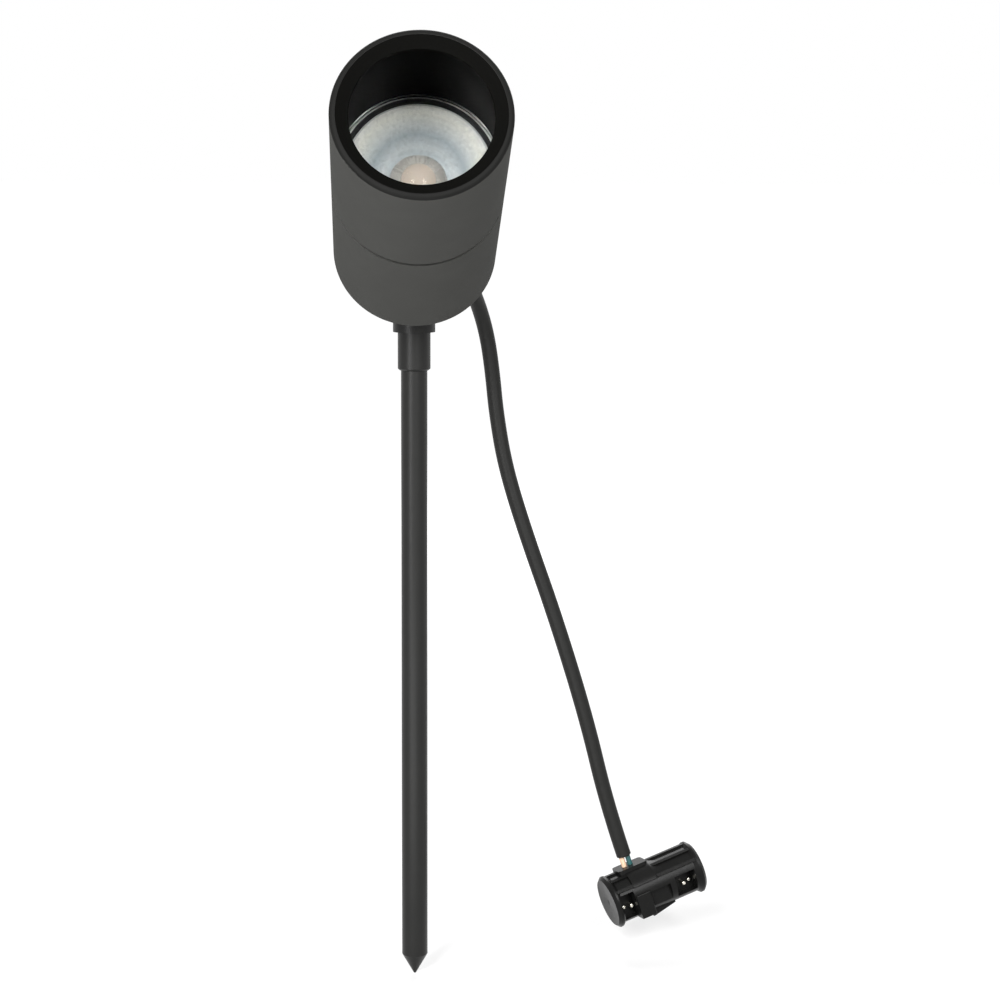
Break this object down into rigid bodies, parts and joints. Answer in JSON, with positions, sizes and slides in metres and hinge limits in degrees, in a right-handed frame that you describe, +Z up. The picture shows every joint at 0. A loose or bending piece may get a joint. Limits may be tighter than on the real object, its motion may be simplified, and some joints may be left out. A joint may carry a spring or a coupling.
{
  "type": "landscape spotlight",
  "caption": "Cylindrical outdoor spotlight with a deep glare hood on a tilting knuckle, held in soil by a long round spike, with a cable that ends in a clip connector.",
  "frame": {"origin": "on the spike's axis at the ground line, where the bare spike starts under the collar", "axes": "+Z up along the spike, the lamp aims towards -Y, +X along the tilt pivot"},
  "size_m": [0.149, 0.176, 0.3572],
  "materials": {
    "anthracite_powder_coat": "matt powder coat",
    "black_powder_coat": "satin powder coat",
    "black_baffle": "moulded black",
    "clear_glass": "polished",
    "black_rubber": "moulded",
    "cable_sheath": "extruded",
    "black_nylon": "moulded",
    "connector_nylon": "moulded",
    "stainless_steel": "turned",
    "lamp_aluminium": "cast",
    "white_plastic": "moulded",
    "reflector_coat": "vapour coated",
    "phosphor": "coated",
    "clear_silicone": "moulded",
    "plated_pins": "nickel plated",
    "brown_insulation": "extruded",
    "blue_insulation": "extruded",
    "ptfe_washer": "cut"
  },
  "bodies": {
    "stake": {"spike": "black_powder_coat", "stem_collar": "black_powder_coat", "swivel_grub_screw": "stainless_steel"},
    "yoke": {"hinge_fork": "black_powder_coat", "pivot_screw": "stainless_steel", "pivot_nut": "stainless_steel", "friction_washers": "ptfe_washer", "cable": "cable_sheath", "brown_core": "brown_insulation", "blue_core": "blue_insulation", "connector_core": "connector_nylon", "connector_contacts": "plated_pins"},
    "head": {"rear_housing": "anthracite_powder_coat", "hinge_lug": "anthracite_powder_coat", "lug_screws": "stainless_steel", "hood_o_ring": "black_rubber", "lamp_body": "lamp_aluminium", "lamp_cap": "white_plastic", "lamp_pins": "plated_pins", "lamp_reflector": "reflector_coat", "led_board": "white_plastic", "led_chip": "phosphor", "led_dome": "clear_silicone", "lamp_holder": "white_plastic", "holder_leads": "white_plastic", "gland_washer": "black_rubber", "gland_body": "black_nylon", "gland_locknut": "black_nylon", "gland_seal": "black_rubber", "gland_nut": "black_nylon", "cable_tail": "cable_sheath"},
    "lens_pack": {"glass_lens": "clear_glass", "lens_gasket": "black_rubber"},
    "hood": {"front_hood": "anthracite_powder_coat", "glare_baffle": "black_baffle"}
  },
  "joints": [
    {"name": "head_swivel", "type": "hinge", "parent": "stake", "child": "yoke", "pos_m": [0, 0, 0.0144], "axis": [0, 0, 1], "range_deg": [-175, 175]},
    {"name": "head_tilt", "type": "hinge", "parent": "yoke", "child": "head", "pos_m": [0, 0, 0.04], "axis": [-1, 0, 0], "range_deg": [-23.9, 66.1], "deforming": ["cable"]},
    {"name": "hood_travel", "type": "slide", "parent": "head", "child": "lens_pack", "axis": [0, -0.9143, 0.4051], "range_m": [0, 0.0076]},
    {"name": "hood_turn", "type": "hinge", "parent": "lens_pack", "child": "hood", "pos_m": [0, 0, 0.04], "axis": [0, -0.9143, 0.4051], "range_deg": [0, 1800]}
  ],
  "couplings": [
    {"joint": "hood_travel", "follows": "hood_turn", "m_per_rad": 0.00023873}
  ]
}
